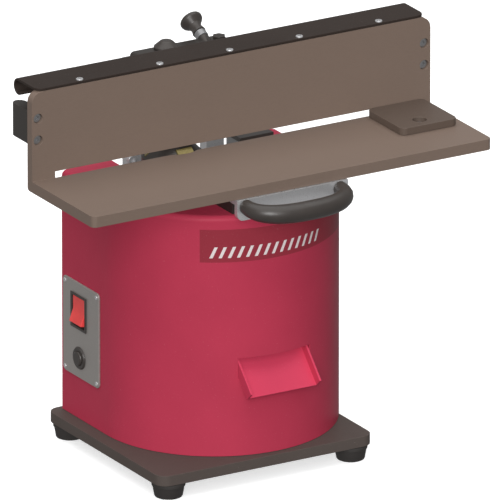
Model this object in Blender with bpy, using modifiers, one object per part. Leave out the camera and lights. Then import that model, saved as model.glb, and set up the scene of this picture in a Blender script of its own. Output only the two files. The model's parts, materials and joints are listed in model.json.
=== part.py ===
"""Benchtop edge-chamfering machine: an L-shaped guide carried over a sheet-metal motor body on a footed base.

Metres, +Z up, +Y to the back. Every piece hangs from the empty "machine". Its own axes start at the front
left corner of the base plate's top face, and it carries them to the middle of the footprint.
"""

import math

import bmesh
import bpy
from mathutils import Vector

MM = 0.001
GAP = 0.3 * MM  # between pieces that touch
PAST = 1 * MM  # how far a cutter runs past what it cuts
TURN = 2 * math.pi

# Base plate and feet
BASE_WIDTH, BASE_DEPTH, BASE_THICK, BASE_CORNER = 215 * MM, 199 * MM, 9.5 * MM, 11 * MM
FOOT_HEIGHT, FOOT_TOP_R, FOOT_FLOOR_R = 14 * MM, 15 * MM, 12.25 * MM
FOOT_INSET_X, FOOT_INSET_Y = 16 * MM, 14.3 * MM
FOOT_RECESS_R, FOOT_RECESS_DEPTH = 7 * MM, 6.5 * MM
FOOT_BOLT_R, FOOT_BOLT_HEAD_R, FOOT_BOLT_REACH = 2.5 * MM, 5.4 * MM, 6 * MM

# Sheet body, U-shaped in plan with its round end to the front
SHEET = 2 * MM
BODY_X, BODY_Y, BODY_R = 121 * MM, 115.15 * MM, 108.4 * MM
BODY_BACK, BODY_HEIGHT, RIM_R = 77.35 * MM, 221 * MM, 5 * MM
OPENING_LEFT, OPENING_RIGHT, OPENING_FRONT = 58 * MM, 80 * MM, 19.15 * MM
REAR_COVER_DROP, VENT_COUNT, VENT_WIDTH, VENT_HEIGHT = 16 * MM, 7, 80 * MM, 4 * MM

# Chip chute: an open trough through the front wall
CHUTE_WIDTH, CHUTE_SLOPE, CHUTE_FLANGE = 71 * MM, math.radians(46.3), 8 * MM
CHUTE_Z, CHUTE_OUT, CHUTE_IN = 73.6 * MM, 22 * MM, 25 * MM  # measured from where it crosses the wall
CHUTE_CROSSING, CHUTE_MOUTH_TOP = 5.75 * MM, 90 * MM

# Switch plate on the left flat
PLATE_Y, PLATE_Z = (125 * MM, 187 * MM), (39.8 * MM, 127.2 * MM)
PLATE_THICK, PLATE_CORNER = 1.8 * MM, 4 * MM
BEZEL_Y, BEZEL_Z, BEZEL_LIP, BEZEL_RIM = (145.8 * MM, 172.4 * MM), (84.5 * MM, 116.8 * MM), 0.9 * MM, 2.5 * MM
BEZEL_DEPTH, ROCKER_PIVOT, ROCKER_TILT = 16 * MM, 7 * MM, math.radians(10)
ROCKER_HALF, ROCKER_PROUD, ROCKER_BACK = 11.8 * MM, 6.2 * MM, 3 * MM
RESET_Y, RESET_Z, RESET_R, RESET_BUTTON_R = 158 * MM, 58.4 * MM, 10.3 * MM, 6.5 * MM
RESET_BODY_R, RESET_LIP, RESET_TRAVEL = 8.4 * MM, 1.4 * MM, 1.5 * MM
GLAND_X, GLAND_Z, GLAND_R, GLAND_BORE_R, GLAND_OUT = 50 * MM, 32 * MM, 9 * MM, 4 * MM, 10 * MM

# Columns and bridge behind the fence
COLUMN_X, COLUMN_WIDTH, COLUMN_DEPTH = (81 * MM, 159 * MM), 18 * MM, 11.5 * MM
COLUMN_SETBACK, COLUMN_ABOVE_TABLE = 2.5 * MM, 65 * MM
BRIDGE_X, BRIDGE_DEPTH, BRIDGE_Z, BRIDGE_CORNER = (73 * MM, 167 * MM), 16 * MM, (53 * MM, 73.3 * MM), 4 * MM
COLUMN_SCREW_X, COLUMN_SCREW_DROP, COLUMN_SCREW_R = 75 * MM, 26.2 * MM, 4.6 * MM
BRIDGE_BOLT_X, BRIDGE_BOLT_R, BRIDGE_BOLT_HEAD = 158 * MM, 6 * MM, 2.4 * MM
LOCK_X, LOCK_R, LOCK_HEIGHT, LOCK_STUD_R, LOCK_STUD = 105 * MM, 11 * MM, 7.6 * MM, 3 * MM, 14 * MM
KNOB_X, KNOB_LIFT = 146.5 * MM, math.radians(25)
KNOB_LENGTH, KNOB_NECK_R, KNOB_FLARE_R = 19 * MM, 5 * MM, 10.5 * MM
COLLAR_R, COLLAR_LENGTH, ADJUSTER_R, ADJUSTER_REACH, BOSS_R = 5.6 * MM, 6 * MM, 3 * MM, 44.5 * MM, 5 * MM

# Slide between the body and the table
SLIDE_X, SLIDE_Y = (83 * MM, 159 * MM), (-89.25 * MM, -13.25 * MM)  # y is measured from the fence's face
SLIDE_HEIGHT, SADDLE_HEIGHT, KEY_WIDTH, KEY_HEIGHT = 10 * MM, 9 * MM, 16 * MM, 4 * MM

# Guide: table in front of an upright fence
GUIDE_X, FENCE_Y, GUIDE_LENGTH = 135 * MM, 108.25 * MM, 400 * MM
TABLE_DEPTH, TABLE_THICK, TABLE_CORNER, HEEL_R = 105 * MM, 10 * MM, 5 * MM, 3 * MM
FENCE_THICK, FENCE_HEIGHT, FENCE_CORNER = 8.2 * MM, 81 * MM, 10 * MM
SLOT_INSET, SLOT_HEIGHT = 23 * MM, 5.5 * MM
END_BLOCK_WIDTH, END_BLOCK_DEPTH, END_BLOCK_CORNER = 12.5 * MM, 30 * MM, 7 * MM
END_BLOCK_Z, TIE_BAR_R, TIE_BAR_Y, TIE_BAR_Z = (32.6 * MM, 62.4 * MM), 8 * MM, 23 * MM, 47 * MM
FENCE_SCREW_INSET, FENCE_SCREW_Z, FENCE_SCREW_R = 6.25 * MM, (36.9 * MM, 56.8 * MM), 4.2 * MM
FENCE_SCREW_SHANK_R, FENCE_SCREW_HEAD, FENCE_SCREW_LENGTH = 2.5 * MM, 4.4 * MM, 17 * MM
GUARD_INSET, GUARD_SHEET, GUARD_ROOF, GUARD_CURL_R = 5.2 * MM, 2.3 * MM, 33.5 * MM, 7.5 * MM
GUARD_CURL, GUARD_CORNER = math.radians(230), 8 * MM
STOP_X, STOP_Y, STOP_THICK, STOP_CORNER = (135 * MM, 192 * MM), (-61 * MM, -0.4 * MM), 6.5 * MM, 6 * MM
STOP_SCREW_X, STOP_SCREW_Y, STOP_SCREW_R, STOP_SHANK_R = 161 * MM, -47 * MM, 6 * MM, 2.5 * MM

# Handle under the table's front edge
BRACKET_X, BRACKET_DROP, BRACKET_SHEET, BRACKET_PROUD = (-57.5 * MM, 53.5 * MM), 19 * MM, 5 * MM, 2 * MM
BRACKET_LEG, BRACKET_CORNER = 13 * MM, 6 * MM
GRIP_X, GRIP_DROP, GRIP_R, GRIP_ROOT = -2.2 * MM, 16.8 * MM, 8.7 * MM, 0.76
GRIP_SPAN, GRIP_REACH, GRIP_DROOP, GRIP_SQUARE = 47 * MM, 27.5 * MM, 3 * MM, 2.5

# Cutter, spindle and motor, on one upright axis; heights run from the table's top
CUTTER_X, CUTTER_BEHIND_FENCE = -48 * MM, 19 * MM  # from the guide's middle, and from the fence's face
CONE_R, CONE_TOP, CONE_FOOT, HEAD_FOOT = 20 * MM, 4.5 * MM, -8 * MM, -21.7 * MM
HEAD_WAIST, HEAD_NECK_R, HUB_R, HUB_TOP = -14 * MM, 20 * MM, 7.5 * MM, 6 * MM
NUT_R, NUT_TOP, STUD_R, STUD_TOP = 7 * MM, 10.5 * MM, 4 * MM, 11.5 * MM
NOTCH_CLEARANCE = 3.2 * MM
INSERT_COUNT, INSERT_WIDTH, INSERT_LENGTH, INSERT_THICK = 3, 16 * MM, 12.5 * MM, 3 * MM
INSERT_Z, INSERT_FACE_R, INSERT_PHASE = -1.7 * MM, 21 * MM, math.radians(3)
NOSE_R, NOSE_TOP, NOSE_FOOT, SHAFT_R, SHAFT_LENGTH = 12.5 * MM, -22 * MM, -37.6 * MM, 8 * MM, 139 * MM
MOTOR_PLATE_X, MOTOR_PLATE_FRONT = (66 * MM, 195 * MM), -28.25 * MM
MOTOR_PLATE_BACK, MOTOR_PLATE_BELOW_RIM, MOTOR_PLATE_THICK = 1.5 * MM, 3 * MM, 6 * MM
MOTOR_R, MOTOR_WALL, MOTOR_HEIGHT, MOTOR_LID = 49 * MM, 4 * MM, 112 * MM, 8 * MM
BEARING_R, BEARING_HEIGHT, BEARING_WALL, SHAFT_CLEARANCE = 15.7 * MM, 9 * MM, 6 * MM, 1.5 * MM
STATOR_BORE_R, STATOR_HEIGHT, ROTOR_R, ROTOR_HEIGHT = 27 * MM, 62 * MM, 26 * MM, 58 * MM
FAN_R, FAN_HUB_R, FAN_HEIGHT, FAN_DISC, FAN_BLADES = 36 * MM, 13 * MM, 12 * MM, 2.5 * MM, 7
BOX_X, BOX_Y, BOX_HEIGHT, BOX_LID = (162 * MM, 194 * MM), (140 * MM, 165 * MM), 17 * MM, 4.5 * MM

BODY_TOP = BODY_HEIGHT
TABLE_Z = BODY_TOP + SLIDE_HEIGHT + SADDLE_HEIGHT + TABLE_THICK
BODY_BACK_Y = BODY_Y + BODY_BACK
BODY_FRONT_Y = BODY_Y - BODY_R
LEFT_FLAT = BODY_X - BODY_R
COLUMN_BACK = BODY_BACK_Y - COLUMN_SETBACK
COLUMN_FRONT = COLUMN_BACK - COLUMN_DEPTH
BRIDGE_BACK = COLUMN_FRONT - GAP
KNOB_SEAT = Vector((KNOB_X, BRIDGE_BACK, TABLE_Z + BRIDGE_Z[1]))
KNOB_TIP, KNOB_TIP_R = COLLAR_LENGTH + KNOB_LENGTH, 0.72 * KNOB_FLARE_R
KNOB_END = BRIDGE_BACK + KNOB_TIP * math.cos(KNOB_LIFT) + KNOB_TIP_R * math.sin(KNOB_LIFT)
GRIP_FRONT = FENCE_Y - TABLE_DEPTH - BRACKET_PROUD - GAP - PAST - GRIP_REACH - GRIP_R
GROUND = BASE_THICK + FOOT_HEIGHT

SLOTS = {
    "body_red": (0.45, 0.05, 0.09, 0.35),
    "guide_brown": (0.20, 0.16, 0.13, 0.5),
    "base_grey": (0.08, 0.07, 0.06, 0.5),
    "guard_black": (0.04, 0.03, 0.03, 0.5),
    "slide_steel": (0.05, 0.05, 0.05, 0.5),
    "bright_steel": (0.60, 0.60, 0.60, 0.3),
    "motor_grey": (0.25, 0.26, 0.27, 0.5),
    "switch_alu": (0.35, 0.34, 0.33, 0.4),
    "black_plastic": (0.03, 0.03, 0.03, 0.4),
    "red_plastic": (0.60, 0.05, 0.04, 0.3),
    "foot_rubber": (0.02, 0.02, 0.02, 0.8),
    "insert_gold": (0.50, 0.40, 0.12, 0.35),
    "core_steel": (0.20, 0.18, 0.16, 0.6),
}


def clear_scene():
    for obj in list(bpy.data.objects):
        bpy.data.objects.remove(obj, do_unlink=True)


def collection(name):
    made = bpy.data.collections.new(name)
    bpy.context.scene.collection.children.link(made)
    return made


def material(slot):
    made = bpy.data.materials.get(slot)
    if made is None:
        red, green, blue, roughness = SLOTS[slot]
        made = bpy.data.materials.new(slot)
        made.use_nodes = True
        shader = made.node_tree.nodes["Principled BSDF"]
        shader.inputs["Base Color"].default_value = (red, green, blue, 1)
        shader.inputs["Roughness"].default_value = roughness
    return made


def axis_empty(name, at, parent=None, tilt=(0, 0, 0)):
    empty = bpy.data.objects.new(name, None)
    empty.empty_display_size = 20 * MM
    PARTS.objects.link(empty)
    empty.parent = parent
    empty.location = at
    empty.rotation_euler = tilt
    return empty


def add(name, data, slot, at, parent, tilt=(0, 0, 0)):
    """One piece in its collection; without a slot it is a cutter, kept out of the render."""
    obj = bpy.data.objects.new(name, data)
    if slot:
        PARTS.objects.link(obj)
        data.materials.append(material(slot))
    else:
        CUTTERS.objects.link(obj)
        obj.hide_render = True
        obj.display_type = "WIRE"
    obj.parent = parent or MACHINE
    obj.location = at
    obj.rotation_euler = tilt
    return obj


def edges_along(bm, axis, sides):
    """The edges parallel to an axis, kept to the given sides of the others, as in {"y": 1}."""
    found = []
    for edge in bm.edges:
        start, end = (v.co for v in edge.verts)
        step, middle = end - start, (start + end) / 2
        parallel = abs(step["XYZ".index(axis)]) > 0.99 * step.length
        if parallel and all(middle["xyz".index(key)] * side > 0 for key, side in sides.items()):
            found.append(edge)
    return found


def block(name, slot, x, y, z, parent=None, rounds=(), tilt=(0, 0, 0), segments=4):
    """A box between pairs of limits, each set of edges in rounds = (radius, axis, sides) rounded over."""
    bm = bmesh.new()
    bmesh.ops.create_cube(bm, size=1)
    bmesh.ops.scale(bm, vec=(x[1] - x[0], y[1] - y[0], z[1] - z[0]), verts=bm.verts)
    for radius, axis, sides in rounds:
        edges = edges_along(bm, axis, sides)
        bmesh.ops.bevel(bm, geom=edges, offset=radius, segments=segments, profile=0.5, affect="EDGES")
    mesh = bpy.data.meshes.new(name)
    bm.to_mesh(mesh)
    bm.free()
    middle = (sum(x) / 2, sum(y) / 2, sum(z) / 2)
    return add(name, mesh, slot, middle, parent, tilt)


TILTS = {
    "Z": (0, 0, 0),
    "X": (0, math.pi / 2, 0),
    "-X": (0, -math.pi / 2, 0),
    "Y": (-math.pi / 2, 0, 0),
    "-Y": (math.pi / 2, 0, 0),
}


def turned(name, slot, at, profile, axis="Z", parent=None, steps=24, ring=False):
    """A piece turned about an axis, from (radius, height) pairs that run down its outer side."""
    bm = bmesh.new()
    verts = [bm.verts.new((radius, 0, height)) for radius, height in profile]
    for start, end in zip(verts, verts[1:]):
        bm.edges.new((start, end))
    if ring:
        bm.edges.new((verts[-1], verts[0]))
    mesh = bpy.data.meshes.new(name)
    bm.to_mesh(mesh)
    bm.free()
    obj = add(name, mesh, slot, at, parent, TILTS[axis])
    screw = obj.modifiers.new("Turn", "SCREW")
    screw.angle = TURN
    screw.steps = screw.render_steps = steps
    screw.use_merge_vertices = True
    screw.merge_threshold = 0.01 * MM
    screw.use_smooth_shade = slot is not None
    return obj


def rod(name, slot, at, radius, low, high, **how):
    return turned(name, slot, at, [(0, high), (radius, high), (radius, low), (0, low)], **how)


def tube(name, slot, at, radius, bore, low, high, **how):
    profile = [(bore, high), (radius, high), (radius, low), (bore, low)]
    return turned(name, slot, at, profile, ring=True, **how)


def boolean(obj, other, operation):
    step = obj.modifiers.new(other.name, "BOOLEAN")
    step.operation = operation
    step.solver = "EXACT"
    step.object = other


def cut(obj, *cutters):
    for cutter in cutters:
        boolean(obj, cutter, "DIFFERENCE")


def join(obj, *others):
    for other in others:
        boolean(obj, other, "UNION")


def extruded(name, outline, step, finish=None):
    """A mesh swept straight from a closed outline; finish(bm) may round it before it is stored."""
    bm = bmesh.new()
    face = bm.faces.new([bm.verts.new(point) for point in outline])
    lifted = bmesh.ops.extrude_face_region(bm, geom=[face])["geom"]
    moved = [item for item in lifted if isinstance(item, bmesh.types.BMVert)]
    bmesh.ops.translate(bm, vec=step, verts=moved)
    if finish:
        finish(bm)
    bmesh.ops.recalc_face_normals(bm, faces=bm.faces)
    mesh = bpy.data.meshes.new(name)
    bm.to_mesh(mesh)
    bm.free()
    return mesh


def u_prism(name, slot, radius, back, low, high, rim):
    """An upright solid, round to the front and square to the back, with its top rim rounded."""
    arc_steps = 40
    outline = [Vector((radius, back, low)), Vector((-radius, back, low))]
    for step in range(arc_steps + 1):
        angle = math.pi * (1 + step / arc_steps)
        outline.append(Vector((radius * math.cos(angle), radius * math.sin(angle), low)))

    def round_rim(bm):
        on_top = [e for e in bm.edges if all(v.co.z > (low + high) / 2 for v in e.verts)]
        edges = [e for e in on_top if any(v.co.y < back - GAP for v in e.verts)]
        bmesh.ops.bevel(bm, geom=edges, offset=rim, segments=3, profile=0.5, affect="EDGES")

    mesh = extruded(name, outline, Vector((0, 0, high - low)), round_rim)
    return add(name, mesh, slot, (BODY_X, BODY_Y, 0), None)


def build_base():
    base = block(
        "base_plate", "base_grey", (0, BASE_WIDTH), (0, BASE_DEPTH), (-BASE_THICK, 0),
        rounds=[(BASE_CORNER, "Z", {})],
    )
    floor = -GROUND
    for side, x in (("left", FOOT_INSET_X), ("right", BASE_WIDTH - FOOT_INSET_X)):
        for end, y in (("front", FOOT_INSET_Y), ("rear", BASE_DEPTH - FOOT_INSET_Y)):
            at = (x, y, floor)
            place = f"{end}_{side}"
            bore = FOOT_BOLT_R + GAP
            top = FOOT_HEIGHT - GAP
            profile = [
                (bore, top), (FOOT_TOP_R, top), (FOOT_FLOOR_R, 0), (FOOT_RECESS_R, 0),
                (FOOT_RECESS_R, FOOT_RECESS_DEPTH), (bore, FOOT_RECESS_DEPTH),
            ]
            turned(f"foot_{place}", "foot_rubber", at, profile, ring=True)
            seat = FOOT_RECESS_DEPTH - GAP
            tip = FOOT_HEIGHT + FOOT_BOLT_REACH
            bolt = [
                (0, tip), (FOOT_BOLT_R, tip), (FOOT_BOLT_R, seat), (FOOT_BOLT_HEAD_R, seat),
                (FOOT_BOLT_HEAD_R, seat - FOOT_BOLT_HEAD_R / 2), (0, seat - FOOT_BOLT_HEAD_R / 2),
            ]
            turned(f"foot_bolt_{place}", "bright_steel", at, bolt, steps=12)
            cut(base, rod(f"cut_bolt_{place}", None, at, bore, FOOT_HEIGHT - PAST, tip + GAP, steps=12))


def build_body():
    body = u_prism("body_shell", "body_red", BODY_R, BODY_BACK, GAP, BODY_HEIGHT, RIM_R)
    inside = u_prism(
        "cut_inside", None, BODY_R - SHEET, BODY_BACK + PAST, -PAST, BODY_HEIGHT - SHEET, RIM_R - SHEET
    )
    opening = block(
        "cut_opening", None, (BODY_X - OPENING_LEFT, BODY_X + OPENING_RIGHT),
        (BODY_Y - OPENING_FRONT, BODY_BACK_Y + PAST), (BODY_TOP - 2 * SHEET, BODY_TOP + PAST),
    )
    cut(body, inside, opening)
    half = BODY_R - SHEET - GAP
    cover = block(
        "rear_cover", "body_red", (BODY_X - half, BODY_X + half), (BODY_BACK_Y - SHEET, BODY_BACK_Y),
        (2 * GAP, BODY_TOP - REAR_COVER_DROP),
    )
    for number in range(VENT_COUNT):
        z = BODY_HEIGHT / 2 + (number - VENT_COUNT / 2) * 2.5 * VENT_HEIGHT
        across = (BODY_X - VENT_WIDTH / 2, BODY_X + VENT_WIDTH / 2)
        through = (BODY_BACK_Y - SHEET - PAST, BODY_BACK_Y + PAST)
        cut(cover, block(f"cut_vent_{number}", None, across, through, (z, z + VENT_HEIGHT)))
    at = (GLAND_X, BODY_BACK_Y, GLAND_Z)
    hold = 0.7 * GLAND_R
    cut(cover, rod("cut_gland", None, at, hold + GAP, -SHEET - PAST, PAST, axis="Y"))
    shell = [
        (GLAND_BORE_R, GLAND_OUT), (0.6 * GLAND_R, GLAND_OUT), (GLAND_R, GLAND_OUT / 2), (GLAND_R, GAP),
        (hold, GAP), (hold, -3 * SHEET), (GLAND_BORE_R, -3 * SHEET),
    ]
    turned("cord_gland", "black_plastic", at, shell, axis="Y", ring=True, steps=18)
    return body


def build_chute(body):
    crossing = Vector((BODY_X, BODY_FRONT_Y + CHUTE_CROSSING, CHUTE_Z))
    slope = axis_empty("chute_slope", crossing, MACHINE, (CHUTE_SLOPE, 0, 0))
    half = CHUTE_WIDTH / 2
    along = (-CHUTE_OUT, CHUTE_IN)
    chute = block("chip_chute", "body_red", (-half, half), along, (-SHEET, CHUTE_FLANGE), slope)
    past = (along[0] - PAST, along[1] + PAST)
    inside = (SHEET - half, half - SHEET)
    cut(chute, block("cut_trough", None, inside, past, (0, CHUTE_FLANGE + PAST), slope))
    wide = (-half - GAP, half + GAP)
    cut(body, block("cut_chute", None, wide, past, (-SHEET - GAP, CHUTE_FLANGE), slope))
    cut(
        body,
        block(
            "cut_mouth", None, (BODY_X - half - GAP, BODY_X + half + GAP),
            (BODY_FRONT_Y - PAST, BODY_FRONT_Y + CHUTE_IN), (CHUTE_Z + SHEET, CHUTE_MOUTH_TOP),
        ),
    )


def build_switch(body):
    face = LEFT_FLAT - GAP - PLATE_THICK
    plate = block(
        "switch_plate", "switch_alu", (face, LEFT_FLAT - GAP), PLATE_Y, PLATE_Z,
        rounds=[(PLATE_CORNER, "X", {})],
    )
    rim_y = (BEZEL_Y[0] + BEZEL_RIM / 2, BEZEL_Y[1] - BEZEL_RIM / 2)
    rim_z = (BEZEL_Z[0] + BEZEL_RIM / 2, BEZEL_Z[1] - BEZEL_RIM / 2)
    hole_y, hole_z = (rim_y[0] - GAP, rim_y[1] + GAP), (rim_z[0] - GAP, rim_z[1] + GAP)
    window = block("cut_window", None, (face - PAST, LEFT_FLAT + SHEET + PAST), hole_y, hole_z)
    front = face - GAP - BEZEL_LIP
    bezel = block("switch_bezel", "black_plastic", (front, face - GAP), BEZEL_Y, BEZEL_Z)
    join(bezel, block("join_bezel", None, (face - BEZEL_LIP, front + BEZEL_DEPTH), rim_y, rim_z))
    well_y = (BEZEL_Y[0] + BEZEL_RIM, BEZEL_Y[1] - BEZEL_RIM)
    well_z = (BEZEL_Z[0] + BEZEL_RIM, BEZEL_Z[1] - BEZEL_RIM)
    cut(bezel, block("cut_well", None, (front - PAST, front + BEZEL_DEPTH - SHEET), well_y, well_z))

    pivot = axis_empty("rocker_axis", (front + ROCKER_PIVOT, sum(BEZEL_Y) / 2, sum(BEZEL_Z) / 2), MACHINE)
    half = (well_y[1] - well_y[0]) / 2 - 2 * GAP
    rise = ROCKER_HALF * math.tan(ROCKER_TILT)
    side = [
        (ROCKER_BACK, ROCKER_HALF), (ROCKER_BACK, -ROCKER_HALF), (-ROCKER_PROUD - rise, -ROCKER_HALF),
        (-ROCKER_PROUD, 0), (-ROCKER_PROUD - rise, ROCKER_HALF),
    ]
    half = (well_y[1] - well_y[0]) / 2 - 2 * GAP
    mesh = extruded("switch_rocker", [Vector((px, -half, pz)) for px, pz in side], Vector((0, 2 * half, 0)))
    add("switch_rocker", mesh, "red_plastic", (0, 0, 0), pivot, (0, ROCKER_TILT, 0))

    reset_at = (face, RESET_Y, RESET_Z)
    bore = RESET_BODY_R + GAP
    hole = rod("cut_reset", None, reset_at, bore, -PLATE_THICK - SHEET - 2 * PAST, PAST, axis="-X")
    cut(plate, window, hole)
    cut(body, window, hole)
    stem = RESET_BUTTON_R + GAP
    collar = [
        (stem, RESET_LIP + GAP), (RESET_R - PAST, RESET_LIP + GAP), (RESET_R, RESET_LIP - PAST),
        (RESET_R, GAP), (RESET_BODY_R, GAP), (RESET_BODY_R, -BEZEL_DEPTH), (stem, -BEZEL_DEPTH),
    ]
    turned("reset_collar", "black_plastic", reset_at, collar, axis="-X", ring=True, steps=32)
    top = RESET_LIP + RESET_TRAVEL + 2 * GAP
    button = [(0, top), (RESET_BUTTON_R - PAST, top), (RESET_BUTTON_R, top - PAST)]
    button += [(RESET_BUTTON_R, -BEZEL_DEPTH / 2), (0, -BEZEL_DEPTH / 2)]
    push = axis_empty("reset_axis", reset_at, MACHINE)
    turned("reset_button", "black_plastic", (0, 0, 0), button, axis="-X", parent=push)


def build_columns():
    top = TABLE_Z + COLUMN_ABOVE_TABLE
    for side, x in zip(("left", "right"), COLUMN_X):
        block(
            f"column_{side}", "bright_steel", (x - COLUMN_WIDTH / 2, x + COLUMN_WIDTH / 2),
            (COLUMN_FRONT, COLUMN_BACK), (GAP, top),
        )
    bridge = block(
        "bridge", "motor_grey", BRIDGE_X, (BRIDGE_BACK - BRIDGE_DEPTH, BRIDGE_BACK),
        (TABLE_Z + BRIDGE_Z[0], TABLE_Z + BRIDGE_Z[1]), rounds=[(BRIDGE_CORNER, "Y", {"z": 1})],
    )
    screw_z = TABLE_Z - COLUMN_SCREW_DROP
    at = (COLUMN_SCREW_X, COLUMN_FRONT - GAP, screw_z)
    rod("column_screw", "bright_steel", at, COLUMN_SCREW_R, 0, COLUMN_SCREW_R, axis="-Y", steps=18)

    deck = TABLE_Z + BRIDGE_Z[1]
    middle = BRIDGE_BACK - BRIDGE_DEPTH / 2
    rod(
        "bridge_bolt", "bright_steel", (BRIDGE_BOLT_X, middle, deck), BRIDGE_BOLT_R, GAP,
        GAP + BRIDGE_BOLT_HEAD, steps=6,
    )
    lock = axis_empty("lock_axis", (LOCK_X, middle, deck), MACHINE)
    dome = [
        (0, LOCK_HEIGHT), (0.35 * LOCK_R, LOCK_HEIGHT), (0.5 * LOCK_R, 0.92 * LOCK_HEIGHT),
        (0.85 * LOCK_R, 0.45 * LOCK_HEIGHT), (LOCK_R, 0.3 * LOCK_HEIGHT), (LOCK_R, GAP), (LOCK_STUD_R, GAP),
        (LOCK_STUD_R, -LOCK_STUD), (0, -LOCK_STUD),
    ]
    turned("lock_knob", "black_plastic", (0, 0, 0), dome, parent=lock)
    stud_at = (LOCK_X, middle, deck)
    cut(bridge, rod("cut_lock", None, stud_at, LOCK_STUD_R + GAP, -LOCK_STUD - GAP, PAST, steps=12))

    depth = axis_empty("depth_axis", KNOB_SEAT, MACHINE, (KNOB_LIFT - math.pi / 2, 0, 0))
    zero = (0, 0, 0)
    join(bridge, rod("join_boss", None, zero, BOSS_R, -1.2 * BRIDGE_DEPTH, -GAP, parent=depth, steps=16))
    reach = (-2 * BRIDGE_DEPTH, PAST)
    cut(bridge, rod("cut_adjuster", None, zero, ADJUSTER_R + GAP, *reach, parent=depth, steps=16))
    tip = KNOB_TIP
    reach = (-ADJUSTER_REACH, COLLAR_LENGTH + GAP)
    rod("adjuster_screw", "bright_steel", zero, ADJUSTER_R, *reach, parent=depth, steps=16)
    bore = ADJUSTER_R + GAP
    tube("knob_collar", "bright_steel", zero, COLLAR_R, bore, 0, COLLAR_LENGTH, parent=depth, steps=16)
    flare = [
        (0, tip), (KNOB_TIP_R, tip), (KNOB_FLARE_R, tip - 0.1 * KNOB_LENGTH),
        (0.95 * KNOB_FLARE_R, tip - 0.25 * KNOB_LENGTH), (1.2 * KNOB_NECK_R, tip - 0.5 * KNOB_LENGTH),
        (KNOB_NECK_R, tip - 0.68 * KNOB_LENGTH), (1.25 * KNOB_NECK_R, COLLAR_LENGTH + 2 * GAP),
        (0, COLLAR_LENGTH + 2 * GAP),
    ]
    turned("depth_knob", "black_plastic", zero, flare, parent=depth)


def build_guide():
    guide = axis_empty("guide_slide", (GUIDE_X, FENCE_Y, TABLE_Z), MACHINE)
    half = GUIDE_LENGTH / 2
    ends = (-half, half)
    plate = block(
        "guide_plate", "guide_brown", ends, (-TABLE_DEPTH, FENCE_THICK), (-TABLE_THICK, 0), guide,
        rounds=[(TABLE_CORNER, "Z", {"y": -1}), (HEEL_R, "X", {"y": 1, "z": -1})],
    )
    fence = block(
        "join_fence", None, ends, (0, FENCE_THICK), (-TABLE_THICK / 2, FENCE_HEIGHT), guide,
        rounds=[(FENCE_CORNER, "Y", {"z": 1})],
    )
    join(plate, fence)
    inner = half - SLOT_INSET
    slot_z = (-TABLE_THICK - PAST, SLOT_HEIGHT)
    slot = block("cut_slot", None, (-inner, inner), (-GAP, FENCE_THICK + PAST), slot_z, guide)
    notch_r = CONE_R + NOTCH_CLEARANCE
    low, high = -TABLE_THICK - PAST, PAST
    notch = turned(
        "cut_notch", None, (CUTTER_X, CUTTER_BEHIND_FENCE, 0),
        [(0, high), (notch_r - high, high), (notch_r - low, low), (0, low)], parent=guide, steps=48,
    )
    cut(plate, slot, notch)

    back = FENCE_THICK + GAP
    head, shank = FENCE_SCREW_HEAD, FENCE_SCREW_SHANK_R
    for side, sign in (("left", -1), ("right", 1)):
        x = sorted((sign * half, sign * (half - END_BLOCK_WIDTH)))
        end_block = block(
            f"end_block_{side}", "slide_steel", x, (back, back + END_BLOCK_DEPTH), END_BLOCK_Z, guide,
            rounds=[(END_BLOCK_CORNER, "Z", {"y": 1})],
        )
        for level, z in zip(("lower", "upper"), FENCE_SCREW_Z):
            at = (sign * (half - FENCE_SCREW_INSET), 0, z)
            outer, bore = FENCE_SCREW_R + GAP, shank + GAP
            well = [
                (0, PAST), (outer, PAST), (outer, -head - 2 * GAP), (bore, -head - 2 * GAP),
                (bore, -FENCE_SCREW_LENGTH - GAP), (0, -FENCE_SCREW_LENGTH - GAP),
            ]
            hole = turned(f"cut_screw_{side}_{level}", None, at, well, "-Y", guide, steps=20)
            cut(plate, hole)
            cut(end_block, hole)
            profile = [
                (0, -GAP), (FENCE_SCREW_R, -GAP), (FENCE_SCREW_R, -GAP - head), (shank, -GAP - head),
                (shank, -FENCE_SCREW_LENGTH), (0, -FENCE_SCREW_LENGTH),
            ]
            turned(f"fence_screw_{side}_{level}", "bright_steel", at, profile, "-Y", guide, steps=16)
    reach = half - END_BLOCK_WIDTH - GAP
    bar_at = (0, TIE_BAR_Y, TIE_BAR_Z)
    rod("tie_bar", "bright_steel", bar_at, TIE_BAR_R, -reach, reach, axis="X", parent=guide)
    build_guard(guide, half - GUARD_INSET)
    build_stop(guide, plate)
    build_handle(guide)
    return guide


def build_guard(guide, half):
    """A sheet strip on the fence, rolled down and under along its back edge."""
    bm = bmesh.new()
    middle_r = GUARD_CURL_R - GUARD_SHEET / 2
    path = [(0, 0), (GUARD_ROOF, 0)]
    curl_steps = 12
    for step in range(1, curl_steps + 1):
        angle = math.pi / 2 - GUARD_CURL * step / curl_steps
        path.append((GUARD_ROOF + middle_r * math.cos(angle), middle_r * (math.sin(angle) - 1)))
    verts = [bm.verts.new((-half, y, z)) for y, z in path]
    edges = [bm.edges.new(pair) for pair in zip(verts, verts[1:])]
    swept = bmesh.ops.extrude_edge_only(bm, edges=edges)["geom"]
    moved = [item for item in swept if isinstance(item, bmesh.types.BMVert)]
    bmesh.ops.translate(bm, vec=(2 * half, 0, 0), verts=moved)
    front = [vert for vert in bm.verts if vert.co.y < GAP]
    bmesh.ops.bevel(bm, geom=front, offset=GUARD_CORNER, segments=5, profile=0.5, affect="VERTICES")
    mesh = bpy.data.meshes.new("top_guard")
    bm.to_mesh(mesh)
    bm.free()
    level = FENCE_HEIGHT + GAP + GUARD_SHEET / 2
    guard = add("top_guard", mesh, "guard_black", (0, 0, level), guide)
    thick = guard.modifiers.new("Sheet", "SOLIDIFY")
    thick.thickness = GUARD_SHEET
    thick.offset = 0
    thick.use_even_offset = True


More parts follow.
